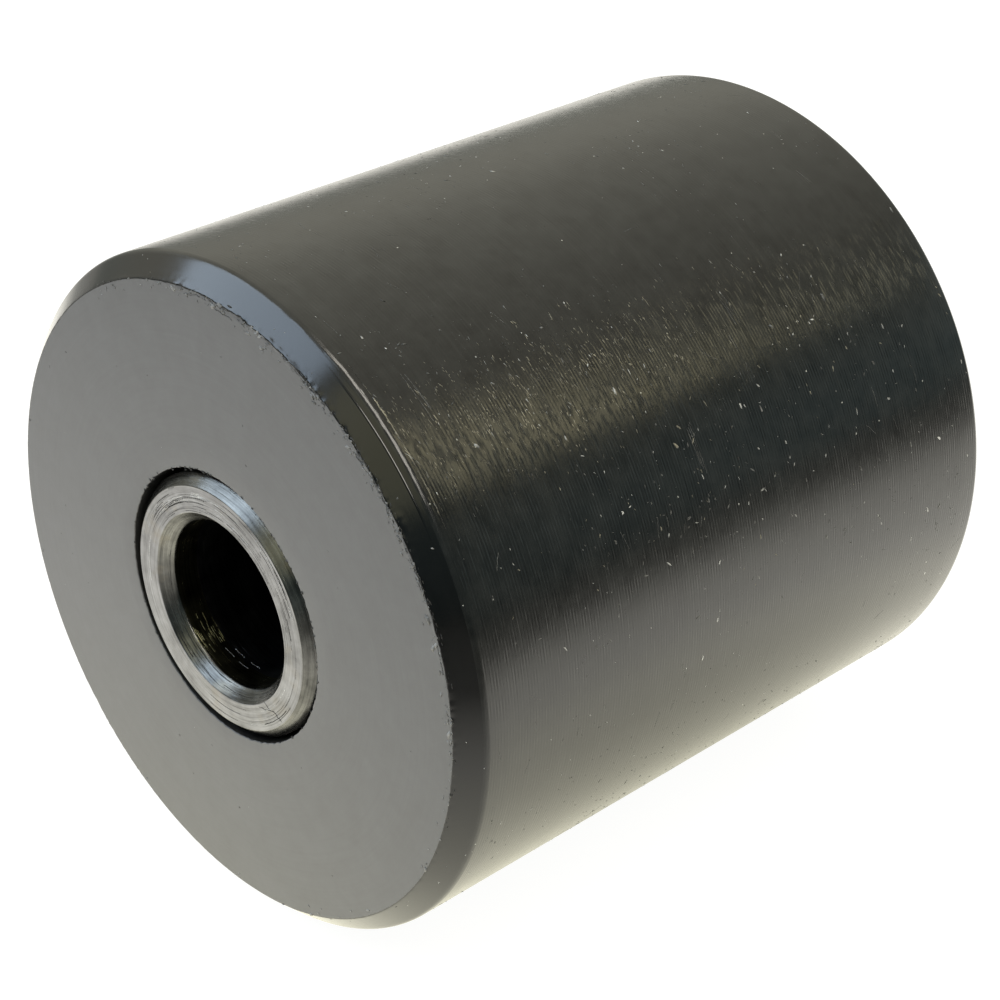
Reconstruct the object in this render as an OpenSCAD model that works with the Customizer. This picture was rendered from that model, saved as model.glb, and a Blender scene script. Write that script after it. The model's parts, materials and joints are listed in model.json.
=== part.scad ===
// Track roller: a solid plastic roller that turns on a loose steel sleeve.
// The roller's axis is +Y and the origin is the middle of the roller. Millimetres.
// An axle bolt goes through the sleeve and clamps it between two frame plates,
// so the sleeve stands still and the roller turns on it.

/* [Roller] */
// Outside diameter of the roller
roller_d = 76.2; // [60:0.1:120]
// Length of the roller between its end faces
roller_length = 80.96; // [40:0.01:160]
// Size of the 45 degree chamfer around each end of the roller
roller_chamfer = 2.38; // [0.5:0.01:5]

/* [Sleeve] */
// Bore of the sleeve, for a 3/4 inch axle bolt
sleeve_bore_d = 19.05; // [12:0.05:20]
// Outside diameter of the sleeve
sleeve_d = 29.8; // [26:0.01:32]
// How far the sleeve stands out of the roller at each end, so that it is what gets clamped
sleeve_proud = 0.2; // [0.1:0.05:2]
// Size of the 45 degree chamfer around the outside of each sleeve end
sleeve_chamfer = 1.1; // [0.3:0.05:1.5]
// Size of the 45 degree chamfer in each mouth of the bore
bore_chamfer = 1.3; // [0.3:0.05:1.5]

/* [Running clearance] */
// Play between the sleeve and the roller's hole, measured on the radius
running_clearance = 0.58; // [0.4:0.01:1.5]
// Gap left where the sleeve lies against the hole
contact_gap = 0.035; // [0.02:0.005:0.1]
// Direction in which the loose sleeve lies, in degrees from straight down towards -X
lie_angle = 44; // [-90:1:90]

/* [Hidden] */
$fn = 128;
cut_overlap = 1;
roller_r = roller_d / 2;
sleeve_r = sleeve_d / 2;
sleeve_bore_r = sleeve_bore_d / 2;
hole_r = sleeve_r + running_clearance;
sleeve_length = roller_length + 2 * sleeve_proud;
// The loose sleeve takes up the play, so its axis lies beside the roller's axis.
lie_offset = running_clearance - contact_gap;
lie_x = -lie_offset * sin(lie_angle);
lie_z = -lie_offset * cos(lie_angle);

// Half outline of a turned tube, as [radius, height] from its middle.
// Both edges at the outside and both at the bore have a 45 degree chamfer.
function tube_outline(inner_r, outer_r, length, inner_chamfer, outer_chamfer) =
    let (half = length / 2)
    [
        [inner_r, -half + inner_chamfer],
        [inner_r + inner_chamfer, -half],
        [outer_r - outer_chamfer, -half],
        [outer_r, -half + outer_chamfer],
        [outer_r, half - outer_chamfer],
        [outer_r - outer_chamfer, half],
        [inner_r + inner_chamfer, half],
        [inner_r, half - inner_chamfer]
    ];

// Turns a shape made along +Z so that it lies along +Y.
module along_y() {
    rotate([-90, 0, 0]) children();
}

// A cylinder along Z, centred on the origin, with the same chamfer at both ends.
module chamfered_cylinder(r, length, chamfer) {
    half = length / 2;
    rotate_extrude()
        polygon([
            [0, -half],
            [r - chamfer, -half],
            [r, -half + chamfer],
            [r, half - chamfer],
            [r - chamfer, half],
            [0, half]
        ]);
}

// The black plastic roller. Its plain through hole is the bearing surface.
module roller_body() {
    color("#26282a")
        along_y()
            difference() {
                chamfered_cylinder(roller_r, roller_length, roller_chamfer);
                cylinder(r = hole_r, h = roller_length + 2 * cut_overlap, center = true);
            }
}

// The turned steel sleeve, lying against the side of the roller's hole.
module sleeve() {
    color("#b9bbb8")
        translate([lie_x, 0, lie_z])
            along_y()
                rotate_extrude()
                    polygon(tube_outline(sleeve_bore_r, sleeve_r, sleeve_length,
                                         bore_chamfer, sleeve_chamfer));
}

roller_body();
sleeve();
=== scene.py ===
"""Track roller: a solid black plastic roller that turns on a loose steel sleeve.

It lies on its side on a pale floor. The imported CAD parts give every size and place; both parts are
rebuilt here as fine turned meshes of the same size, with the marks that the lathe left on them.
Lengths are in metres, and the roller's axis is +Y.
"""

import json
import math
import random

import bpy
from mathutils import Matrix, Vector, noise


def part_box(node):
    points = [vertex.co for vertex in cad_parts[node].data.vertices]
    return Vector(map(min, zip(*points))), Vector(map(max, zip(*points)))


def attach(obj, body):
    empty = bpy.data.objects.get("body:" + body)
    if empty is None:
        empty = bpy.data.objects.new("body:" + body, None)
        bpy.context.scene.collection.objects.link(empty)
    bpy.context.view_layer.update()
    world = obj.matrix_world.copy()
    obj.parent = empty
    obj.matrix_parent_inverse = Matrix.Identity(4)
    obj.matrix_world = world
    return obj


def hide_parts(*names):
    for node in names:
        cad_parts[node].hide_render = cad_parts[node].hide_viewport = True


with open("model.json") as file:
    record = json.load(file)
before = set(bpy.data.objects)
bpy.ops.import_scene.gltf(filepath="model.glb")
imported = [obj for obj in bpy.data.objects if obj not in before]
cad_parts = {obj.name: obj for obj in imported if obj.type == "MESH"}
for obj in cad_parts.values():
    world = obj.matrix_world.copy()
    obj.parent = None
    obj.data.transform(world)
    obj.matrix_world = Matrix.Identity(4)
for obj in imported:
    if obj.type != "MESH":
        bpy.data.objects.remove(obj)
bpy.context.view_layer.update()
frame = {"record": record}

MM = 0.001
TURN = 2 * math.pi
SEED = 7

# ---------------------------------------------------------------- sizes

# The frame gives these, except for ROLLER_CHAMFER, SLEEVE_CHAMFER and RUNNING_CLEARANCE. It doesn't
# hold those three, so they are repeated from the CAD parts.

roller_low, roller_high = (Vector(corner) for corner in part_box("roller_body"))
sleeve_low, sleeve_high = (Vector(corner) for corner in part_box("sleeve"))
axle_bore = next(mount for mount in frame["record"]["mounts"] if mount["name"] == "axle_bore")

ROLLER_CENTRE = (roller_low + roller_high) / 2
ROLLER_R = (roller_high.z - roller_low.z) / 2
ROLLER_HALF = (roller_high.y - roller_low.y) / 2
ROLLER_CHAMFER = 2.38 * MM

SLEEVE_CENTRE = (sleeve_low + sleeve_high) / 2
SLEEVE_R = (sleeve_high.z - sleeve_low.z) / 2
SLEEVE_HALF = (sleeve_high.y - sleeve_low.y) / 2
SLEEVE_CHAMFER = 1.1 * MM
BORE_R = axle_bore["dims"]["r_mm"] * MM
BORE_CHAMFER = SLEEVE_HALF - axle_bore["dims"]["length_mm"] * MM / 2
RUNNING_CLEARANCE = 0.58 * MM
HOLE_R = SLEEVE_R + RUNNING_CLEARANCE

# How far the lathe's tool moved along in one turn, and how many flats each mesh has round it.
TURNING_PITCH = 0.39 * MM
ROLLER_SEGMENTS = 720
SLEEVE_SEGMENTS = 330

# The rounding of a corner that only starts a new ring spacing.
SHARP = 0.02 * MM

# How far into the hole its burred mouth reaches. The sleeve's chamfer keeps the sleeve clear of it.
HOLE_MOUTH = 0.6 * MM

# Thread-like marks just inside the bore: where they lie round it and how far they reach.
THREAD_DEPTH = 3 * MM
THREAD_PITCH = 0.5 * MM
THREAD_ANGLE = math.radians(228)
THREAD_SPREAD = math.radians(24)

# Where the marks gather, as angles round the axis from +X towards +Z, and how widely they spread.
# The first two are where the warm lamps light the side wall: the strokes gathered there are painted warm
# glints, and the side wall has more bump there.
WARM_GLINT_ANGLE = math.radians(47)
WARM_GLINT_SPREAD = math.radians(5)
SPECKED_ANGLE = math.radians(24)
SPECKED_SPREAD = math.radians(8)
RAGGED_ANGLE = math.radians(52)
CRACKED_ANGLE = math.radians(55)
HIGH_ANGLE = math.radians(80)
LOW_ANGLE = math.radians(250)
WARM_GLINT_AXIS = (math.cos(WARM_GLINT_ANGLE), 0.0, math.sin(WARM_GLINT_ANGLE))

# A faint turned ridge across part of each chamfer: where it lies and how far it reaches.
RIDGE_SHARE = 0.71
RIDGE_SHARE_WIDTH = 0.03
RIDGE_HEIGHT = 0.042 * MM
RIDGE_ANGLE = math.radians(48)
RIDGE_SPREAD = math.radians(12.5)

# The ragged rim of an end face: how far from its edge it reaches and has fine rings, and how far the
# edge is raised, eaten away or pushed out where it is most worn.
RIM_REACH = 1.8 * MM
RIM_FINE_WIDTH = 1.1 * MM
RIM_WIDTH = 0.32 * MM
RIM_BAND_WIDTH = 0.9 * MM
RIM_LUMP = 0.08 * MM
RIM_CRUMB = 0.07 * MM
RIM_NOTCH = 0.5 * MM
RIM_SPREAD = 0.1 * MM

# The burr round each mouth of the roller's hole.
BURR_REACH = 0.5 * MM
BURR_WIDTH = 0.25 * MM
BURR_HEIGHT = 0.12 * MM

# How uneven the roller's side wall is, and how deep the tool left its rings in the sleeve.
SIDE_WAVINESS = 0.006 * MM
END_RING_DEPTH = 0.03 * MM
CHAMFER_RING_DEPTH = 0.028 * MM
THREADED_RING_DEPTH = 0.04 * MM
THREAD_HEIGHT = 0.035 * MM

# How bright the floor glows: under the roller, beside it, far away, and as the camera sees it.
FLOOR_GLOW_UNDER = 0.98
FLOOR_GLOW_NEAR = 1.8
FLOOR_GLOW_FAR = 1.3
FLOOR_GLOW_SEEN = 0.96

# The floor's disc, and how far under the roller it lies.
FLOOR_RADIUS = 1.6
FLOOR_SEGMENTS = 96
FLOOR_GAP = 0.02 * MM

# Where the floor's glow fades: the direction, where the fade starts and ends in roller radii, and the
# share of the glow that is left beyond it.
FLOOR_FADES = (
    ((0.98, 0.2, 0.0), 3.8, 8.2, 0.08),
    ((0.6, -0.8, 0.0), 1.35, 4.5, 0.05),
    ((-0.8, -0.6, 0.0), 4.5, 7.0, 0.3),
)

# How the room's glow changes with direction: an axis, the two places along it, and the glow at each.
ROOM_GLOW = (
    ((-0.62, 0.2, 0.76), 0.1, 0.88, 0.23, 0.95),
    ((0.0, 0.0, 1.0), 0.0, 0.38, 0.52, 1.0),
    ((0.45, 0.89, 0.0), 0.87, 0.96, 1.0, 2.8),
)

# How warm the room's colour is, given in the same way.
ROOM_WARMTH = ((-0.42, 0.2, 0.88), 0.0, 0.6, 0.0, 1.0)

# The lamps: direction from the roller, width, height, power and colour. The two warm ones light the
# part of the side wall where the painted warm glint strokes lie.
LAMP_DISTANCE = 0.9
LAMPS = {
    "window": ((-0.5, -0.57, 0.63), 0.78, 0.45, 4.9, (0.64, 0.8, 1.0)),
    "warm_wall": ((0.25, -0.785, 0.57), 0.45, 0.38, 0.44, (1.0, 0.94, 0.6)),
    "warm_ceiling": ((0.515, 0.525, 0.678), 0.1, 0.4, 0.44, (1.0, 0.9, 0.55)),
    "ceiling_lamp": ((0.4, -0.12, 0.91), 0.24, 0.8, 5.4, (1.0, 0.95, 0.85)),
}

# The camera: where it stands, how far its aim is off the roller's middle, and its lens.
CAMERA_AZIMUTH = math.radians(46.6)
CAMERA_ELEVATION = math.radians(29.2)
CAMERA_DISTANCE = 7.302 * ROLLER_R
CAMERA_LEFT = 0.0099 * ROLLER_R
CAMERA_BELOW = 0.0621 * ROLLER_R
SENSOR_WIDTH = 36.0
LENS_PER_WIDTH = 2.4257

# How many marks of each kind there are, and the share of the edge marks that are on the near end.
SIDE_NICKS = 3200
GLINT_AND_PALE_STROKES = 1300
DUST_AND_GLINT_SPECKS = 220
SIDE_HAIRS = 200
SIDE_SCUFFS = 14
EDGE_CRUMBS = 640
EDGE_CRACKS = 34
FACE_SPECKS = 60
HOLE_CRUMBS = 130
STEEL_LINES = 110
CHAMFER_LINES = 44
THREAD_GLINTS = 34
NEAR_END_SHARE = 0.7

# Flake lengths: the middle and the spread of the logarithm in millimetres, and the longest.
NICK_LENGTH = (-1.5, 0.55, 1.1)
STROKE_LENGTH = (-0.95, 0.45, 1.1)
SPECK_LENGTH = (-1.2, 0.5, 0.8)
CRUMB_LENGTH = (-0.9, 0.5, 1.3)

# How far apart the flakes in most scratches are, and how far a thin flake stands out.
TRAIL_STEP = 0.35 * MM
THIN = 0.02 * MM

# The share of the marks that are of the kind named, where there are two kinds.
LEVEL_NICKS_SHARE = 0.7
PALE_NICKS_SHARE = 0.3
GLINT_STROKES_SHARE = 0.94
GREY_CRUMBS_SHARE = 0.7
HIGH_LINES_SHARE = 0.65
DARK_LINES_SHARE = 0.75

# A crack that crosses the near end face of the sleeve, drawn in painted shade.
CRACK_ANGLE = math.radians(-50)

# Bright scratches just inside the bore: the angle round it, and the depth from the near end.
BORE_SCRATCHES = (
    (math.radians(243), 3.7 * MM),
    (math.radians(247), 4.6 * MM),
    (math.radians(257), 3.8 * MM),
    (math.radians(262), 4.8 * MM),
)


# ---------------------------------------------------------------- turned meshes

def rounded_profile(corners, stretches):
    """Rings of a closed half outline: (radius, y, zone) for each ring, in order.

    corners is a list of (radius, y, rounding), and stretches has (zone, ring spacing) for the stretch
    that leaves each corner.
    """
    rings = []
    count = len(corners)
    for index in range(count):
        zone, spacing = stretches[index]
        here = Vector(corners[index][:2])
        before = Vector(corners[index - 1][:2])
        after = Vector(corners[(index + 1) % count][:2])
        rounding = corners[index][2]
        arc_steps = 4 if rounding > 0.05 * MM else 2
        entry = here + (before - here).normalized() * rounding
        leave = here + (after - here).normalized() * rounding
        for step in range(arc_steps + 1):
            t = step / arc_steps
            point = entry * (1 - t) ** 2 + here * 2 * t * (1 - t) + leave * t ** 2
            rings.append((point.x, point.y, zone))
        end = after + (here - after).normalized() * corners[(index + 1) % count][2]
        steps = max(1, round((end - leave).length / spacing))
        for step in range(1, steps):
            point = leave.lerp(end, step / steps)
            rings.append((point.x, point.y, zone))
    return rings


def mirrored_profile(near_half, near_stretches, wall, inside):
    """Rings of a profile that is the same at both ends; wall and inside join the two halves."""
    far_half = [(radius, -y, rounding) for radius, y, rounding in reversed(near_half)]
    stretches = near_stretches + [wall] + near_stretches[::-1] + [inside]
    return rounded_profile(near_half + far_half, stretches)


def lathe(rings, segments, centre, relief):
    """Turns a closed profile round an axis along Y. relief(radius, y, zone, angle) moves each point."""
    verts = []
    for radius, y, zone in rings:
        for segment in range(segments):
            angle = TURN * segment / segments
            moved_r, moved_y = relief(radius, y, zone, angle)
            verts.append((
                centre.x + moved_r * math.cos(angle),
                centre.y + moved_y,
                centre.z + moved_r * math.sin(angle),
            ))
    faces = []
    zones = []
    count = len(rings)
    for ring in range(count):
        start = ring * segments
        other = (ring + 1) % count * segments
        for segment in range(segments):
            after = (segment + 1) % segments
            faces.append((start + segment, other + segment, other + after, start + after))
            zones.append(rings[ring][2])
    return verts, faces, zones


def build_piece(name, verts, faces, zones, materials):
    """A smooth mesh object whose faces take the material named by their zone."""
    mesh = bpy.data.meshes.new(name)
    mesh.from_pydata(verts, [], faces)
    slots = {}
    for zone, material in materials.items():
        slots[zone] = len(mesh.materials)
        mesh.materials.append(material)
    mesh.polygons.foreach_set("material_index", [slots[zone] for zone in zones])
    mesh.polygons.foreach_set("use_smooth", [True] * len(faces))
    mesh.update()
    piece = bpy.data.objects.new(name, mesh)
    bpy.context.scene.collection.objects.link(piece)
    return piece


def ring_noise(angle, across, turns, seed):
    """Smooth noise that closes on itself round the ring; turns sets how fine it is round the ring."""
    return noise.noise(Vector((turns * math.cos(angle), turns * math.sin(angle) + seed, across)))


# ---------------------------------------------------------------- materials

class Nodes:
    """Short ways to add and link shader nodes."""

    def __init__(self, name):
        self.material = bpy.data.materials.new(name)
        self.material.use_nodes = True
        self.tree = self.material.node_tree
        self.shader = self.tree.nodes["Principled BSDF"]

    def add(self, kind, inputs=(), **settings):
        """A new node with these settings, and a value or a link for each of these inputs."""
        node = self.tree.nodes.new("ShaderNode" + kind)
        for key, value in settings.items():
            setattr(node, key, value)
        for key, value in dict(inputs).items():
            self.put(node.inputs[key], value)
        return node

    def put(self, socket, value):
        """Links an output to the socket, or sets a constant on it."""
        if hasattr(value, "is_output"):
            self.tree.links.new(value, socket)
        else:
            socket.default_value = value

    def math(self, operation, a, b=0.0):
        """The result of one operation on two numbers."""
        node = self.add("Math", operation=operation)
        self.put(node.inputs[0], a)
        self.put(node.inputs[1], b)
        return node.outputs[0]

    def ramp(self, value, low, high, to_low=0.0, to_high=1.0):
        """A number that goes from to_low to to_high as the value goes from low to high, and no further."""
        node = self.add("MapRange", clamp=True)
        for key, number in zip(range(5), (value, low, high, to_low, to_high)):
            self.put(node.inputs[key], number)
        return node.outputs["Result"]

    def mix(self, factor, a, b):
        """A colour between a and b."""
        node = self.add("Mix", data_type="RGBA")
        self.put(node.inputs["Factor"], factor)
        self.put(node.inputs["A"], a)
        self.put(node.inputs["B"], b)
        return node.outputs["Result"]

    def noise(self, vector, scale, detail=2.0, roughness=0.5):
        """Smooth noise from 0 to 1; a larger scale makes it finer."""
        node = self.add("TexNoise", {"Vector": vector, "Scale": scale, "Detail": detail,
                                     "Roughness": roughness})
        return node.outputs["Fac"]


def turned_coordinates(nodes, centre, flat, slow, fast):
    """Coordinates that change slowly round the turned piece and fast across its turning lines.

    flat is True on an end face, where the lines are circles, and False on a wall along the axis.
    """
    place = nodes.add("TexCoord").outputs["Object"]
    place = nodes.add("VectorMath", {0: place, 1: centre}, operation="SUBTRACT").outputs[0]
    parts = nodes.add("SeparateXYZ", {0: place})
    if flat:
        level = nodes.add("CombineXYZ", {0: parts.outputs[0], 2: parts.outputs[2]}).outputs[0]
        across = nodes.add("VectorMath", {0: level}, operation="LENGTH").outputs["Value"]
    else:
        across = parts.outputs[1]
    vector = nodes.add("CombineXYZ", {
        0: nodes.math("MULTIPLY", parts.outputs[0], slow),
        1: nodes.math("MULTIPLY", across, fast),
        2: nodes.math("MULTIPLY", parts.outputs[2], slow),
    }).outputs[0]
    return place, across, vector


def turned_plastic(name, flat, dark, pale, rough, groove, dust):
    """Black machined plastic: turning lines, uneven gloss, faint streaks and pale dust."""
    nodes = Nodes(name)
    place, across, turned = turned_coordinates(nodes, ROLLER_CENTRE, flat, slow=60.0, fast=2600.0)
    turns = nodes.math("MULTIPLY", across, TURN / TURNING_PITCH)
    wobble = nodes.noise(place, scale=90.0, detail=2.0)
    turns = nodes.math("ADD", turns, nodes.math("MULTIPLY", wobble, 2.5))
    wave = nodes.math("SINE", turns)
    streak = nodes.noise(turned, scale=1.0, detail=3.0, roughness=0.6)
    _, _, short_turned = turned_coordinates(nodes, ROLLER_CENTRE, flat, slow=600.0, fast=1 / TURNING_PITCH)
    stroke = nodes.ramp(nodes.noise(short_turned, scale=1.0, detail=1.0), 0.46, 0.64)
    # More bump towards where the warm lamps light the side wall, which breaks up their highlight.
    towards_warm_glint = nodes.add("VectorMath", {0: place, 1: WARM_GLINT_AXIS}, operation="DOT_PRODUCT")
    warm_glint = nodes.ramp(towards_warm_glint.outputs["Value"], 0.5 * ROLLER_R, 0.95 * ROLLER_R, 0.4, 1.0)
    cloud = nodes.noise(place, scale=45.0, detail=4.0, roughness=0.6)
    mottle = nodes.noise(place, scale=380.0, detail=5.0, roughness=0.65)
    grain = nodes.noise(place, scale=6000.0, detail=2.0)
    specks = nodes.add("TexVoronoi", {"Vector": place, "Scale": 420.0, "Randomness": 1.0})
    speck_size = nodes.noise(place, scale=900.0, detail=1.0)
    speck = nodes.math("LESS_THAN", nodes.math("DIVIDE", specks.outputs["Distance"], speck_size), dust)
    shade = nodes.math("ADD", nodes.math("MULTIPLY", streak, 0.22), nodes.math("MULTIPLY", cloud, 0.3))
    shade = nodes.math("ADD", shade, nodes.math("MULTIPLY", mottle, 0.48))
    body = nodes.mix(nodes.ramp(shade, 0.36, 0.64), (*dark, 1), (*pale, 1))
    colour = nodes.mix(speck, body, (0.32, 0.32, 0.3, 1))
    gloss = nodes.ramp(shade, 0.3, 0.7, rough[0], rough[1])
    stroke = nodes.math("MULTIPLY", stroke, warm_glint)
    height = nodes.math("MULTIPLY", nodes.math("MULTIPLY", wave, nodes.math("ADD", stroke, 0.12)), groove)
    height = nodes.math("ADD", height, nodes.math("MULTIPLY", streak, groove))
    warm_glint_mottle = nodes.math("MULTIPLY", mottle, warm_glint)
    height = nodes.math("ADD", height, nodes.math("MULTIPLY", warm_glint_mottle, groove * 2.0))
    height = nodes.math("ADD", height, nodes.math("MULTIPLY", grain, 0.0012 * MM))
    height = nodes.math("ADD", height, nodes.math("MULTIPLY", speck, 0.01 * MM))
    bump = nodes.add("Bump", {"Strength": 1.0, "Distance": 1.0, "Height": height})
    nodes.put(nodes.shader.inputs["Base Color"], colour)
    nodes.put(nodes.shader.inputs["Roughness"], gloss)
    nodes.put(nodes.shader.inputs["Normal"], bump.outputs[0])
    nodes.shader.inputs["IOR"].default_value = 1.52
    return nodes.material


def scuff_or_painted_light(name, dark, pale, metallic=0.0):
    """Dull flake material, paler where a noise is higher. It colours torn and scraped marks, paler where
    more is rubbed, and also painted glints and painted shade lines.
    """
    nodes = Nodes(name)
    place = nodes.add("TexCoord").outputs["Object"]
    rubbed = nodes.noise(place, scale=420.0, detail=1.0)
    grain = nodes.noise(place, scale=9000.0, detail=2.0)
    colour = nodes.mix(nodes.ramp(rubbed, 0.35, 0.68), (*dark, 1), (*pale, 1))
    bump = nodes.add("Bump", {"Strength": 1.0, "Distance": 1.0,
                              "Height": nodes.math("MULTIPLY", grain, 0.006 * MM)})
    nodes.put(nodes.shader.inputs["Base Color"], colour)
    nodes.put(nodes.shader.inputs["Roughness"], nodes.ramp(grain, 0.3, 0.7, 0.4, 0.6))
    nodes.put(nodes.shader.inputs["Normal"], bump.outputs[0])
    nodes.shader.inputs["Metallic"].default_value = metallic
    return nodes.material


def turned_steel(name, flat, dark, pale, rough, groove):
    """Turned steel: streaky tool marks, some cut deep and painted dark as shade, on a blotchy, faintly
    stained metal.
    """
    nodes = Nodes(name)
    place, _, turned = turned_coordinates(nodes, SLEEVE_CENTRE, flat, slow=110.0, fast=4200.0)
    streak = nodes.noise(turned, scale=1.0, detail=4.0, roughness=0.7)
    blotch = nodes.noise(place, scale=380.0, detail=3.0, roughness=0.6)
    stain = nodes.noise(place, scale=260.0, detail=3.0, roughness=0.6)
    _, _, cut_turned = turned_coordinates(nodes, SLEEVE_CENTRE, flat, slow=85.0, fast=8000.0)
    cut = nodes.ramp(nodes.noise(cut_turned, scale=1.0, detail=3.0, roughness=0.6), 0.58, 0.7)
    cut = nodes.math("MULTIPLY", cut, nodes.ramp(nodes.noise(place, scale=150.0, detail=1.0), 0.4, 0.6))
    shade = nodes.math("ADD", nodes.math("MULTIPLY", streak, 0.55), nodes.math("MULTIPLY", blotch, 0.45))
    body = nodes.mix(nodes.ramp(shade, 0.36, 0.62), (*dark, 1), (*pale, 1))
    body = nodes.mix(nodes.ramp(stain, 0.58, 0.75, 0.0, 0.3), body, (0.2, 0.17, 0.12, 1))
    # Painted shade: the deep cuts are darkened towards black as well as sunk by the bump.
    colour = nodes.mix(nodes.math("MULTIPLY", cut, 0.75), body, (0.02, 0.02, 0.02, 1))
    gloss = nodes.ramp(shade, 0.3, 0.7, rough[0], rough[1])
    height = nodes.math("MULTIPLY", streak, groove)
    height = nodes.math("ADD", height, nodes.math("MULTIPLY", blotch, groove * 2))
    height = nodes.math("SUBTRACT", height, nodes.math("MULTIPLY", cut, groove * 3))
    bump = nodes.add("Bump", {"Strength": 1.0, "Distance": 1.0, "Height": height})
    nodes.put(nodes.shader.inputs["Base Color"], colour)
    nodes.put(nodes.shader.inputs["Roughness"], gloss)
    nodes.put(nodes.shader.inputs["Normal"], bump.outputs[0])
    nodes.shader.inputs["Metallic"].default_value = 1.0
    return nodes.material


# ---------------------------------------------------------------- the roller

def edge_wear(angle, y):
    """How ragged the rim of an end face is, from about 0 to 1: most at the near end's top, towards +X."""
    if y > 0:
        return 0.45 + 0.3 * ring_noise(angle, 0.5, 1.5, SEED)
    facing = max(0.0, math.cos(angle - RAGGED_ANGLE))
    return 0.2 + 0.8 * facing ** 2 + 0.3 * ring_noise(angle, 0.5, 3.1, SEED)


def roller_relief(radius, y, zone, angle):
    """Hand-scale unevenness of the machined plastic, and the ragged rim of its end faces."""
    edge_r = ROLLER_R - ROLLER_CHAMFER
    side = math.copysign(1, y)
    moved_r = radius
    moved_y = y
    if zone == "side":
        moved_r += SIDE_WAVINESS * ring_noise(angle, y / (9 * MM), 3.0, SEED)
    gap = math.hypot(radius - edge_r, abs(y) - ROLLER_HALF)
    if gap < RIM_REACH:
        wear = edge_wear(angle, y)
        rim = math.exp(-(gap / RIM_WIDTH) ** 2)
        band = math.exp(-(gap / RIM_BAND_WIDTH) ** 2)
        lump = ring_noise(angle, radius / (0.3 * MM), 140.0, SEED + 3)
        notch = max(0.0, ring_noise(angle, radius / (0.7 * MM), 24.0, SEED + 4) - 0.3)
        crumb = ring_noise(angle, radius / (0.4 * MM), 90.0, SEED + 6)
        raised = RIM_LUMP * rim * lump + RIM_CRUMB * band * max(0.0, crumb) - RIM_NOTCH * rim * notch
        moved_y += side * wear * raised
        spread = ring_noise(angle, 3.3, 130.0, SEED + 9) + ring_noise(angle, 3.3, 11.0, SEED + 10)
        moved_r += RIM_SPREAD * rim * wear * spread
    if zone == "chamfer":
        share = (radius - edge_r) / ROLLER_CHAMFER
        window = math.exp(-((angle - RIDGE_ANGLE) / RIDGE_SPREAD) ** 4)
        lift = RIDGE_HEIGHT * window * max(0.0, 1 - abs(share - RIDGE_SHARE) / RIDGE_SHARE_WIDTH)
        moved_r += lift * math.sqrt(0.5)
        moved_y += side * lift * math.sqrt(0.5)
    hole_gap = math.hypot(radius - HOLE_R, abs(y) - ROLLER_HALF)
    if hole_gap < BURR_REACH:
        burr = math.exp(-(hole_gap / BURR_WIDTH) ** 2)
        moved_r += BURR_HEIGHT * burr * ring_noise(angle, 1.7, 34.0, SEED + 12)
    return moved_r, moved_y


def chamfer_point(share):
    """A point across the near chamfer: share goes from the face's edge to the side wall."""
    return ROLLER_R - ROLLER_CHAMFER * (1 - share), -ROLLER_HALF + ROLLER_CHAMFER * share


def build_roller():
    """The plastic roller as one turned mesh, the size of its CAD part."""
    face_edge_r = ROLLER_R - ROLLER_CHAMFER
    shoulder_y = ROLLER_HALF - ROLLER_CHAMFER
    rim_r = face_edge_r - RIM_FINE_WIDTH
    hole_round = 0.12 * MM
    edge_round = 0.1 * MM
    side_round = 0.42 * MM
    ridge = [chamfer_point(RIDGE_SHARE + side * RIDGE_SHARE_WIDTH) for side in (-1, 0, 1)]
    near_half = [
        (HOLE_R, -ROLLER_HALF + HOLE_MOUTH, SHARP),
        (HOLE_R, -ROLLER_HALF, hole_round),
        (rim_r, -ROLLER_HALF, SHARP),
        (face_edge_r, -ROLLER_HALF, edge_round),
        (*ridge[0], SHARP),
        (*ridge[1], SHARP),
        (*ridge[2], SHARP),
        (ROLLER_R, -shoulder_y, side_round),
    ]
    near_stretches = [
        ("hole", 0.3 * MM),
        ("face", 2.4 * MM),
        ("face", 0.16 * MM),
        ("chamfer", 0.25 * MM),
        ("chamfer", 0.2 * MM),
        ("chamfer", 0.2 * MM),
        ("chamfer", 0.25 * MM),
    ]
    rings = mirrored_profile(near_half, near_stretches, ("side", 3 * MM), ("hole", 8 * MM))
    verts, faces, zones = lathe(rings, ROLLER_SEGMENTS, ROLLER_CENTRE, roller_relief)
    materials = {
        "face": turned_plastic("plastic_face", flat=True, dark=(0.087, 0.086, 0.089),
                               pale=(0.117, 0.1155, 0.119), rough=(0.42, 0.5),
                               groove=0.0005 * MM, dust=0.03),
        "chamfer": turned_plastic("plastic_chamfer", flat=True, dark=(0.001, 0.001, 0.001),
                                  pale=(0.003, 0.003, 0.003), rough=(0.13, 0.2),
                                  groove=0.0006 * MM, dust=0.05),
        "side": turned_plastic("plastic_side", flat=False, dark=(0.001, 0.0011, 0.001),
                               pale=(0.0155, 0.0162, 0.0155), rough=(0.17, 0.25),
                               groove=0.008 * MM, dust=0.07),
        "hole": turned_plastic("plastic_hole", flat=False, dark=(0.008, 0.008, 0.008),
                               pale=(0.012, 0.012, 0.012), rough=(0.4, 0.5),
                               groove=0.004 * MM, dust=0.03),
    }
    return build_piece("roller_turned", verts, faces, zones, materials)


# ---------------------------------------------------------------- nicks, crumbs and scratches

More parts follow.
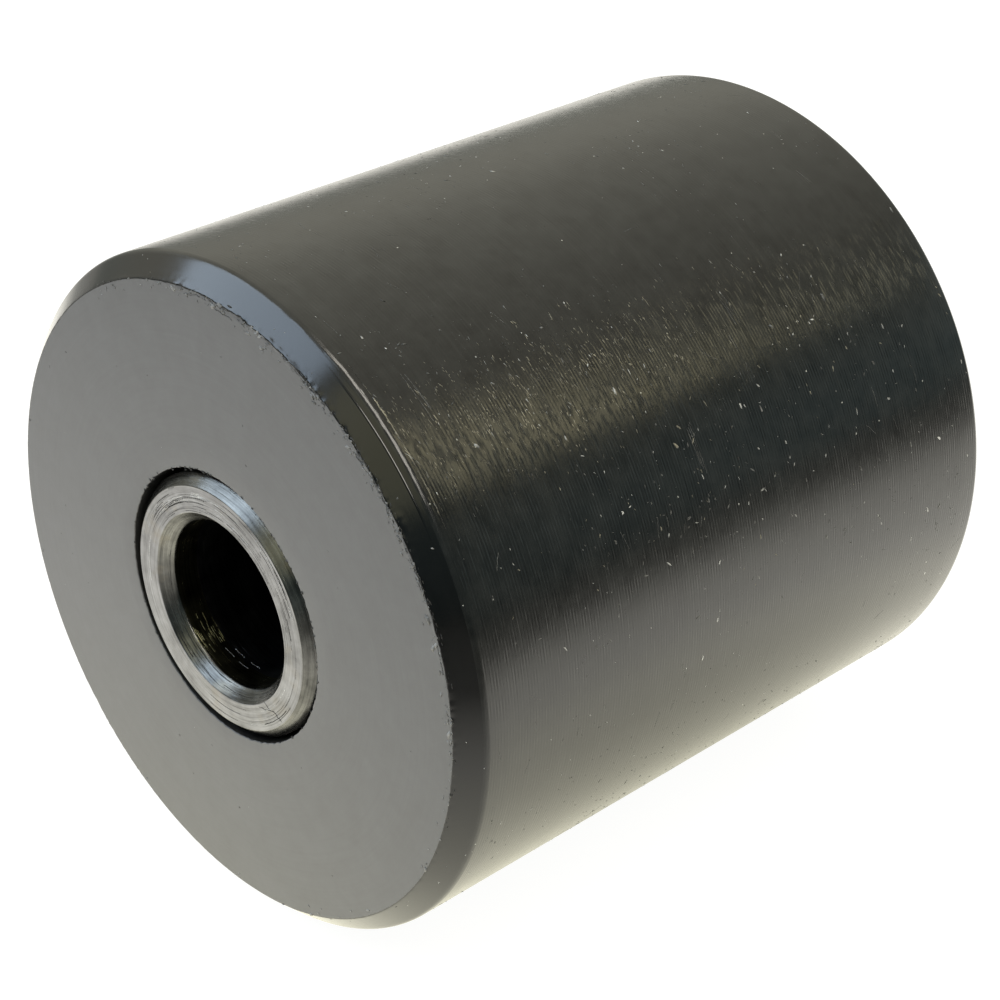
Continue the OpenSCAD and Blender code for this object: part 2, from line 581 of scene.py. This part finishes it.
class Chips:
    """Small closed flakes, half sunk in a turned surface."""

    OUTLINE = ((-0.5, 0.0), (-0.25, -0.4), (0.2, -0.5), (0.5, 0.05), (0.25, 0.42), (-0.2, 0.5))

    def __init__(self, centre, seed):
        self.centre = centre
        self.random = random.Random(seed)
        self.verts = []
        self.faces = []
        self.zones = []

    def add(self, place, normal, along, length, width, height, zone):
        """One flake at a place, lying along a direction in the surface."""
        over = normal.cross(along)
        start = len(self.verts)
        corners = len(self.OUTLINE)
        for run, aside in self.OUTLINE:
            jitter = self.random.uniform(0.7, 1.3)
            self.verts.append(place + along * run * length * jitter + over * aside * width * jitter)
        self.verts.append(place + normal * height)
        self.verts.append(place - normal * height)
        for corner in range(corners):
            after = (corner + 1) % corners
            self.faces.append((start + corner, start + after, start + corners))
            self.faces.append((start + after, start + corner, start + corners + 1))
            self.zones += [zone, zone]

    def put(self, angle, radius, y, slope, heading, length, width, height, zone):
        """One flake on a turned surface whose normal has parts slope = (outward, along the axis).

        heading is its direction in the surface, measured from the direction round the axis.
        """
        outward = Vector((math.cos(angle), 0.0, math.sin(angle)))
        axial = Vector((0.0, 1.0, 0.0))
        normal = (outward * slope[0] + axial * slope[1]).normalized()
        round_axis = Vector((-math.sin(angle), 0.0, math.cos(angle)))
        along = round_axis * math.cos(heading) + normal.cross(round_axis) * math.sin(heading)
        self.add(self.centre + outward * radius + axial * y, normal, along, length, width, height, zone)

    def trail(self, angle, radius, y, slope, heading, steps, length, width, height, zone, wander=0.12):
        """A thin scratch made of overlapping flakes, each turned a little away from its heading."""
        for _ in range(steps):
            turned = heading + self.random.uniform(-wander, wander)
            self.put(angle, radius, y, slope, turned, length * 1.5, width, height, zone)
            angle += math.cos(turned) * length / radius
            across = math.sin(turned) * length
            y -= across * slope[0]
            radius += across * slope[1]

    def build(self, name, materials):
        """Makes one piece of all the flakes."""
        return build_piece(name, self.verts, self.faces, self.zones, materials)


def marked_end(rng):
    """Which end an edge mark is on: -1 for the near end, which has most of them, or 1 for the far end."""
    return -1.0 if rng.random() < NEAR_END_SHARE else 1.0


def flake_size(rng, middle, spread, largest):
    """A random flake length. Most are small: middle and spread are of its logarithm in millimetres."""
    return min(largest, rng.lognormvariate(middle, spread)) * MM


def place_along(rng, middle, spread, reach):
    """A random place along the side wall; middle and spread are in half lengths of the roller."""
    return max(-reach, min(reach, rng.gauss(middle, spread) * ROLLER_HALF))


def nick_side_wall(chips):
    """Nicks all over the side wall; short strokes, most of them painted warm glints, where the warm
    lamps light it; specks round one angle, some of them painted warm glints; hairs and scuffs.
    """
    rng = chips.random
    reach = ROLLER_HALF - ROLLER_CHAMFER - 0.8 * MM
    outward = (1.0, 0.0)
    made = 0
    while made < SIDE_NICKS:
        angle = rng.uniform(0, TURN)
        y = rng.uniform(-reach, reach)
        if rng.random() > 0.35 + 1.5 * ring_noise(angle, y / (14 * MM), 2.8, SEED + 20):
            continue
        size = flake_size(rng, *NICK_LENGTH)
        slim = rng.uniform(0.16, 0.45)
        heading = rng.gauss(0.1, 0.45) if rng.random() < LEVEL_NICKS_SHARE else rng.uniform(0, math.pi)
        chips.put(angle, ROLLER_R, y, outward, heading, length=size, width=size * slim,
                  height=rng.uniform(0.02, 0.045) * MM,
                  zone="pale" if rng.random() < PALE_NICKS_SHARE else "faint")
        made += 1
    # Painted highlight: short strokes, most of them pale warm flakes that stand in for glints of the warm
    # lamps.
    for _ in range(GLINT_AND_PALE_STROKES):
        size = flake_size(rng, *STROKE_LENGTH)
        y = place_along(rng, -0.6, 0.4, reach)
        chips.put(rng.gauss(WARM_GLINT_ANGLE, WARM_GLINT_SPREAD), ROLLER_R, y, outward,
                  rng.gauss(0.08, 0.16), length=size, width=rng.uniform(0.04, 0.09) * MM,
                  height=0.012 * MM, zone="warm_glint" if rng.random() < GLINT_STROKES_SHARE else "pale")
    # Specks round one angle: some are painted warm glints, the rest pale or faint flecks.
    for _ in range(DUST_AND_GLINT_SPECKS):
        size = flake_size(rng, *SPECK_LENGTH)
        y = place_along(rng, 0.0, 0.42, reach)
        chips.put(rng.gauss(SPECKED_ANGLE, SPECKED_SPREAD), ROLLER_R, y, outward, rng.gauss(0.1, 0.6),
                  length=size, width=size * rng.uniform(0.15, 0.4), height=0.03 * MM,
                  zone=rng.choice(("pale", "faint", "warm_glint")))
    for _ in range(SIDE_HAIRS):
        chips.trail(rng.uniform(0, TURN), ROLLER_R, rng.uniform(-reach, reach), outward,
                    rng.gauss(0.1, 0.5), steps=rng.randint(2, 6), length=TRAIL_STEP, width=0.06 * MM,
                    height=0.012 * MM, zone="faint")
    for _ in range(SIDE_SCUFFS):
        angle = rng.uniform(0, TURN)
        y = rng.uniform(-reach, reach)
        for _ in range(5):
            chips.trail(angle + rng.gauss(0.0, 0.03), ROLLER_R, y + rng.gauss(0.0, 0.35) * MM, outward,
                        0.05, steps=rng.randint(4, 11), length=0.4 * MM, width=0.05 * MM,
                        height=0.008 * MM, zone="faint")


def crumble_edges(chips):
    """Crumbs and cracks along the rims of the end faces, most at the near end's top, towards +X."""
    rng = chips.random
    edge_r = ROLLER_R - ROLLER_CHAMFER
    made = 0
    while made < EDGE_CRUMBS:
        side = marked_end(rng)
        angle = rng.uniform(0, TURN)
        if rng.random() > edge_wear(angle, side) ** 2:
            continue
        made += 1
        if rng.random() < GREY_CRUMBS_SHARE:
            size = flake_size(rng, *CRUMB_LENGTH)
            chips.put(angle, edge_r - abs(rng.gauss(0.1, 0.6)) * MM, side * ROLLER_HALF, (0.0, side),
                      rng.gauss(0.0, 0.5), length=size, width=size * rng.uniform(0.25, 0.6),
                      height=rng.uniform(0.04, 0.1) * MM, zone="grey")
        else:
            off = abs(rng.gauss(0.0, 0.12)) * MM
            size = rng.uniform(0.2, 0.8) * MM
            chips.put(angle, edge_r + off, side * (ROLLER_HALF - off), (1.0, side), rng.gauss(0.0, 0.2),
                      length=size, width=size * rng.uniform(0.12, 0.3),
                      height=rng.uniform(0.02, 0.05) * MM, zone="dark")
    for _ in range(EDGE_CRACKS):
        side = marked_end(rng)
        chips.trail(rng.gauss(CRACKED_ANGLE, 0.45), edge_r - abs(rng.gauss(0.05, 0.3)) * MM,
                    side * (ROLLER_HALF + 0.01 * MM), (0.0, side), rng.gauss(0.0, 0.04),
                    steps=rng.randint(3, 14), length=TRAIL_STEP, width=rng.uniform(0.05, 0.13) * MM,
                    height=0.03 * MM, zone="dark", wander=0.3)


def speck_faces(chips):
    """Specks on both end faces, and on both chamfers."""
    rng = chips.random
    for _ in range(FACE_SPECKS):
        side = rng.choice((-1.0, 1.0))
        radius = rng.uniform(HOLE_R + 2 * MM, ROLLER_R - ROLLER_CHAMFER - 1 * MM)
        size = rng.uniform(0.15, 0.4) * MM
        chips.put(rng.uniform(0, TURN), radius, side * ROLLER_HALF, (0.0, side), rng.gauss(0, 1),
                  length=size, width=size * 0.5, height=THIN, zone="faint")
    for _ in range(FACE_SPECKS):
        side = rng.choice((-1.0, 1.0))
        share = rng.uniform(0.15, 0.9)
        size = rng.uniform(0.12, 0.35) * MM
        chips.put(rng.uniform(0, TURN), ROLLER_R - ROLLER_CHAMFER * (1 - share),
                  side * (ROLLER_HALF - ROLLER_CHAMFER * share), (1.0, side), rng.gauss(0, 1),
                  length=size, width=size * 0.5, height=THIN, zone="pale")


def crumble_hole(chips):
    """Burrs left where the hole breaks out of the end faces."""
    rng = chips.random
    for _ in range(HOLE_CRUMBS):
        side = marked_end(rng)
        angle = rng.gauss(HIGH_ANGLE, 1.1)
        size = rng.uniform(0.12, 0.5) * MM
        chips.put(angle, HOLE_R + rng.gauss(0.0, 0.09) * MM, side * ROLLER_HALF, (-0.3, side),
                  rng.gauss(0, 0.8), length=size, width=size * 0.6,
                  height=rng.uniform(0.03, 0.09) * MM, zone="dark")


def build_roller_chips():
    """All the small marks on the plastic, as one piece."""
    chips = Chips(ROLLER_CENTRE, SEED)
    nick_side_wall(chips)
    crumble_edges(chips)
    speck_faces(chips)
    crumble_hole(chips)
    materials = {
        "pale": scuff_or_painted_light("scuff_pale", (0.09, 0.09, 0.088), (0.6, 0.6, 0.585)),
        "faint": scuff_or_painted_light("scuff_faint", (0.03, 0.03, 0.028), (0.12, 0.12, 0.115)),
        # Painted highlight: pale warm flakes that stand in for glints of the warm lamps.
        "warm_glint": scuff_or_painted_light("painted_warm_glint", (0.012, 0.011, 0.009), (0.34, 0.31, 0.235)),
        "grey": scuff_or_painted_light("scuff_grey", (0.07, 0.07, 0.07), (0.25, 0.25, 0.25)),
        "dark": scuff_or_painted_light("scuff_dark", (0.006, 0.006, 0.006), (0.03, 0.03, 0.03)),
    }
    return chips.build("roller_chips", materials)


# ---------------------------------------------------------------- the sleeve

def tool_marks(place, rough_seed):
    """Height of the rings that the tool left, at a place across them, from -1 to 1."""
    coarse = noise.noise(Vector((place / (0.34 * MM), rough_seed, 0.0)))
    fine = noise.noise(Vector((place / (0.13 * MM), rough_seed + 5.0, 0.0)))
    return 0.65 * coarse + 0.35 * fine


def sleeve_relief(radius, y, zone, angle):
    """Tool rings on the sleeve's ends and chamfers, and thread-like rings in part of its mouth."""
    moved_r = radius
    moved_y = y
    side = math.copysign(1, y)
    turned_away = math.remainder(angle - THREAD_ANGLE, TURN)
    threaded = math.exp(-(turned_away / THREAD_SPREAD) ** 2)
    drift = 0.1 * MM * ring_noise(angle, 0.0, 1.2, SEED + side)
    drift += 0.02 * MM * ring_noise(angle, 0.0, 9.0, SEED)
    depth = 0.6 + 0.8 * ring_noise(angle, radius / (0.8 * MM), 2.4, SEED + 30)
    if zone == "end":
        moved_y -= side * END_RING_DEPTH * depth * (1 + tool_marks(radius + drift, 1.0 + side)) / 2
    elif zone == "outer_chamfer":
        moved_y -= side * CHAMFER_RING_DEPTH * depth * tool_marks(radius + drift, 4.0 + side)
    elif zone == "bore_chamfer":
        cut = CHAMFER_RING_DEPTH + THREADED_RING_DEPTH * threaded
        moved_y -= side * cut * depth * tool_marks(radius + drift, 4.0 + side)
    elif zone == "mouth":
        deep = (SLEEVE_HALF - BORE_CHAMFER - abs(y)) / THREAD_DEPTH
        window = threaded * max(0.0, 1 - deep) ** 2
        uneven = 0.6 + tool_marks(y * 0.6 + drift, 8.0)
        moved_r += THREAD_HEIGHT * window * uneven * math.sin(y * TURN / THREAD_PITCH)
    return moved_r, moved_y


def build_sleeve():
    """The steel sleeve as one turned mesh, the size of its CAD part."""
    edge_round = 0.05 * MM
    mouth_round = 0.25 * MM
    mouth_y = SLEEVE_HALF - BORE_CHAMFER - THREAD_DEPTH
    near_half = [
        (BORE_R, -mouth_y, SHARP),
        (BORE_R, -SLEEVE_HALF + BORE_CHAMFER, mouth_round),
        (BORE_R + BORE_CHAMFER, -SLEEVE_HALF, edge_round),
        (SLEEVE_R - SLEEVE_CHAMFER, -SLEEVE_HALF, edge_round),
        (SLEEVE_R, -SLEEVE_HALF + SLEEVE_CHAMFER, edge_round),
    ]
    near_stretches = [
        ("mouth", 0.07 * MM),
        ("bore_chamfer", 0.08 * MM),
        ("end", 0.07 * MM),
        ("outer_chamfer", 0.08 * MM),
    ]
    rings = mirrored_profile(near_half, near_stretches, ("outside", 4.0 * MM), ("bore", 3 * MM))
    verts, faces, zones = lathe(rings, SLEEVE_SEGMENTS, SLEEVE_CENTRE, sleeve_relief)
    chamfer = turned_steel("steel_chamfer", flat=True, dark=(0.05, 0.05, 0.048),
                           pale=(0.175, 0.174, 0.166), rough=(0.2, 0.32), groove=0.005 * MM)
    materials = {
        "end": turned_steel("steel_end", flat=True, dark=(0.1, 0.1, 0.103),
                            pale=(0.265, 0.267, 0.277), rough=(0.26, 0.42), groove=0.006 * MM),
        "outer_chamfer": chamfer,
        "bore_chamfer": chamfer,
        "outside": turned_steel("steel_wall", flat=False, dark=(0.2, 0.2, 0.2),
                                pale=(0.4, 0.4, 0.39), rough=(0.3, 0.45), groove=0.004 * MM),
        # Painted: the mouth's steel is near black, as shade inside the bore, and gold where it is paler, as
        # a painted warm reflection.
        "mouth": turned_steel("steel_mouth", flat=False, dark=(0.03, 0.03, 0.022),
                              pale=(0.3, 0.285, 0.17), rough=(0.18, 0.3), groove=0.002 * MM),
        # Painted shade: the bore's steel is made far darker than the rest of the sleeve.
        "bore": turned_steel("steel_bore", flat=False, dark=(0.03, 0.03, 0.034),
                             pale=(0.08, 0.08, 0.085), rough=(0.25, 0.4), groove=0.004 * MM),
    }
    return build_piece("sleeve_turned", verts, faces, zones, materials)


def line_sleeve_ends(chips):
    """Deeper tool lines: round the bore's chamfers, mostly low down, and round the ends, mostly high up.
    The dark ones are painted shade; some round the ends are bright instead.
    """
    rng = chips.random
    for _ in range(CHAMFER_LINES):
        side = rng.choice((-1.0, 1.0))
        share = rng.uniform(0.1, 0.9)
        chips.trail(rng.gauss(LOW_ANGLE, 0.6), BORE_R + BORE_CHAMFER * share,
                    side * (SLEEVE_HALF - BORE_CHAMFER * (1 - share)), (-1.0, side), 0.0,
                    steps=rng.randint(5, 20), length=TRAIL_STEP, width=rng.uniform(0.04, 0.09) * MM,
                    height=THIN, zone="dark", wander=0.05)
    for _ in range(STEEL_LINES):
        side = rng.choice((-1.0, 1.0))
        angle = rng.gauss(HIGH_ANGLE, 0.6) if rng.random() < HIGH_LINES_SHARE else rng.uniform(0, TURN)
        radius = rng.uniform(BORE_R + BORE_CHAMFER + 0.1 * MM, SLEEVE_R - SLEEVE_CHAMFER - 0.1 * MM)
        chips.trail(angle, radius, side * (SLEEVE_HALF - 0.01 * MM), (0.0, side), 0.0,
                    steps=rng.randint(4, 22), length=TRAIL_STEP, width=rng.uniform(0.04, 0.11) * MM,
                    height=THIN, zone="dark" if rng.random() < DARK_LINES_SHARE else "bright",
                    wander=0.06)


def scratch_sleeve(chips):
    """A crack across the near end face, painted dark as shade; golden flakes just inside the bore,
    painted glints on its thread-like marks; and bright scratches there.
    """
    rng = chips.random
    near = -SLEEVE_HALF
    chips.trail(CRACK_ANGLE, BORE_R + BORE_CHAMFER, near, (0.0, -1.0), -1.45, steps=9,
                length=0.36 * MM, width=0.07 * MM, height=0.03 * MM, zone="dark", wander=0.9)
    chips.trail(CRACK_ANGLE, BORE_R + BORE_CHAMFER + 0.9 * MM, near, (0.0, -1.0), 2.9, steps=6,
                length=0.3 * MM, width=0.05 * MM, height=0.03 * MM, zone="dark", wander=0.5)
    # Painted highlight: golden flakes on the thread-like marks, glints of the warm light.
    for _ in range(THREAD_GLINTS):
        depth = rng.uniform(BORE_CHAMFER, BORE_CHAMFER + THREAD_DEPTH)
        chips.trail(rng.gauss(THREAD_ANGLE, 0.09), BORE_R, near + depth, (-1.0, 0.0), 0.0,
                    steps=rng.randint(2, 4), length=0.3 * MM, width=rng.uniform(0.04, 0.1) * MM,
                    height=0.05 * MM, zone="painted_gold_glint", wander=0.05)
    for angle, depth in BORE_SCRATCHES:
        chips.trail(angle, BORE_R, near + depth, (-1.0, 0.0), 0.05, steps=6, length=0.25 * MM,
                    width=0.05 * MM, height=THIN, zone="bright", wander=0.1)


def build_sleeve_marks():
    """All the small marks on the steel, as one piece."""
    chips = Chips(SLEEVE_CENTRE, SEED + 1)
    line_sleeve_ends(chips)
    scratch_sleeve(chips)
    materials = {
        # Painted shade: near black steel for the deep tool lines and the crack.
        "dark": scuff_or_painted_light("painted_shade_line", (0.01, 0.01, 0.01), (0.05, 0.05, 0.05), metallic=1.0),
        "bright": scuff_or_painted_light("steel_scratch", (0.3, 0.3, 0.3), (0.7, 0.7, 0.7), metallic=1.0),
        # Painted highlight: gold steel for the glints in the bore's mouth.
        "painted_gold_glint": scuff_or_painted_light("painted_thread_glint", (0.08, 0.075, 0.04), (0.6, 0.56, 0.32), metallic=1.0),
    }
    return chips.build("sleeve_marks", materials)


# ---------------------------------------------------------------- floor, light and camera

def floor_paper():
    """Pale paper, lit from below like a light table.

    The roller's black plastic mirrors it, so its light changes with the distance and the direction
    from the roller. The camera sees the paper evenly pale.
    """
    nodes = Nodes("floor_paper")
    place = nodes.add("TexCoord").outputs["Object"]
    distance = nodes.add("VectorMath", {0: place}, operation="LENGTH").outputs["Value"]
    middle = (0.2 * ROLLER_R, 0.45 * ROLLER_R, 0.0)
    beside = nodes.add("VectorMath", {0: place, 1: middle}, operation="DISTANCE").outputs["Value"]
    away = nodes.ramp(distance, 1.3 * ROLLER_R, 2.8 * ROLLER_R)
    seen = nodes.add("LightPath").outputs["Is Camera Ray"]
    glow = nodes.mix(away, (1.0, 0.965, 0.76, 1), (1.0, 0.97, 0.88, 1))
    colour = nodes.mix(seen, glow, (1.0, 1.0, 0.99, 1))
    near = nodes.ramp(beside, ROLLER_R, 1.9 * ROLLER_R, FLOOR_GLOW_UNDER, FLOOR_GLOW_NEAR)
    far = nodes.ramp(distance, 2.6 * ROLLER_R, 8 * ROLLER_R, 1.0, FLOOR_GLOW_FAR / FLOOR_GLOW_NEAR)
    strength = nodes.math("MULTIPLY", near, far)
    for direction, fade_start, fade_end, left in FLOOR_FADES:
        out = nodes.add("VectorMath", {0: place, 1: direction}, operation="DOT_PRODUCT").outputs["Value"]
        fade = nodes.ramp(out, fade_start * ROLLER_R, fade_end * ROLLER_R, 1.0, left)
        strength = nodes.math("MULTIPLY", strength, fade)
    strength = nodes.ramp(seen, 0.0, 1.0, strength, FLOOR_GLOW_SEEN)
    nodes.shader.inputs["Base Color"].default_value = (0.12, 0.12, 0.12, 1)
    nodes.shader.inputs["Roughness"].default_value = 0.8
    nodes.put(nodes.shader.inputs["Emission Color"], colour)
    nodes.put(nodes.shader.inputs["Emission Strength"], strength)
    return nodes.material


def build_floor():
    """A wide pale disc just under the roller."""
    below = roller_low.z - FLOOR_GAP
    verts = [(0.0, 0.0, below)]
    for segment in range(FLOOR_SEGMENTS):
        angle = TURN * segment / FLOOR_SEGMENTS
        verts.append((FLOOR_RADIUS * math.cos(angle), FLOOR_RADIUS * math.sin(angle), below))
    faces = [(0, 1 + segment, 1 + (segment + 1) % FLOOR_SEGMENTS) for segment in range(FLOOR_SEGMENTS)]
    floor = build_piece("floor", verts, faces, ["paper"] * FLOOR_SEGMENTS, {"paper": floor_paper()})


def area_light(name, direction, width, height, power, colour):
    """A soft rectangular light in a direction from the roller, facing it."""
    light = bpy.data.lights.new(name, "AREA")
    light.shape = "RECTANGLE"
    light.size = width
    light.size_y = height
    light.energy = power
    light.color = colour
    lamp = bpy.data.objects.new(name, light)
    place = Vector(direction).normalized() * LAMP_DISTANCE
    lamp.location = place
    lamp.rotation_euler = place.to_track_quat("Z", "Y").to_euler()
    bpy.context.scene.collection.objects.link(lamp)


def build_world():
    """A room whose glow varies with direction; the camera sees plain near-white past the floor."""
    world = bpy.data.worlds.new("room")
    bpy.context.scene.world = world
    world.use_nodes = True
    tree = world.node_tree
    room = tree.nodes["Background"]
    direction = tree.nodes.new("ShaderNodeTexCoord").outputs["Generated"]

    def along(axis, low, high, to_low, to_high):
        """A value that changes from to_low to to_high as the direction goes from low to high on an axis."""
        part = tree.nodes.new("ShaderNodeVectorMath")
        part.operation = "DOT_PRODUCT"
        part.inputs[1].default_value = axis
        tree.links.new(direction, part.inputs[0])
        ramp = tree.nodes.new("ShaderNodeMapRange")
        for name, value in (("From Min", low), ("From Max", high), ("To Min", to_low), ("To Max", to_high)):
            ramp.inputs[name].default_value = value
        tree.links.new(part.outputs["Value"], ramp.inputs["Value"])
        return ramp.outputs["Result"]

    parts = [along(*change) for change in ROOM_GLOW]
    glow = parts[0]
    for part in parts[1:]:
        product = tree.nodes.new("ShaderNodeMath")
        product.operation = "MULTIPLY"
        tree.links.new(glow, product.inputs[0])
        tree.links.new(part, product.inputs[1])
        glow = product.outputs[0]
    tint = tree.nodes.new("ShaderNodeMix")
    tint.data_type = "RGBA"
    tree.links.new(along(*ROOM_WARMTH), tint.inputs["Factor"])
    tint.inputs["A"].default_value = (0.8, 1.03, 1.03, 1)
    tint.inputs["B"].default_value = (1.0, 0.97, 0.82, 1)
    tree.links.new(tint.outputs["Result"], room.inputs["Color"])
    tree.links.new(glow, room.inputs["Strength"])
    seen = tree.nodes.new("ShaderNodeBackground")
    seen.inputs["Color"].default_value = (1.0, 1.0, 0.99, 1)
    path = tree.nodes.new("ShaderNodeLightPath")
    mix = tree.nodes.new("ShaderNodeMixShader")
    tree.links.new(path.outputs["Is Camera Ray"], mix.inputs["Fac"])
    tree.links.new(room.outputs[0], mix.inputs[1])
    tree.links.new(seen.outputs[0], mix.inputs[2])
    tree.links.new(mix.outputs[0], tree.nodes["World Output"].inputs["Surface"])


def build_camera():
    """A camera with no roll or shift, at the front right of the roller and above it."""
    ahead = Vector((-math.sin(CAMERA_AZIMUTH) * math.cos(CAMERA_ELEVATION),
                    math.cos(CAMERA_AZIMUTH) * math.cos(CAMERA_ELEVATION),
                    -math.sin(CAMERA_ELEVATION)))
    right = Vector((math.cos(CAMERA_AZIMUTH), math.sin(CAMERA_AZIMUTH), 0.0))
    up = right.cross(ahead)
    data = bpy.data.cameras.new("camera")
    data.sensor_width = SENSOR_WIDTH
    data.lens = LENS_PER_WIDTH * SENSOR_WIDTH
    data.clip_start = 0.01
    camera = bpy.data.objects.new("camera", data)
    place = ROLLER_CENTRE - ahead * CAMERA_DISTANCE - right * CAMERA_LEFT - up * CAMERA_BELOW
    turn = Matrix((right, up, -ahead)).transposed()
    camera.matrix_world = Matrix.Translation(place) @ turn.to_4x4()
    bpy.context.scene.collection.objects.link(camera)
    bpy.context.scene.camera = camera


build_camera()
build_world()
build_floor()
for lamp_name, lamp in LAMPS.items():
    area_light(lamp_name, *lamp)

roller = build_roller()
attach(roller, "roller")
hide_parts("roller_body")

roller_chips = build_roller_chips()
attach(roller_chips, "roller")

sleeve = build_sleeve()
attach(sleeve, "sleeve")
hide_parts("sleeve")

sleeve_marks = build_sleeve_marks()
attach(sleeve_marks, "sleeve")

bpy.context.scene.view_settings.view_transform = "Standard"
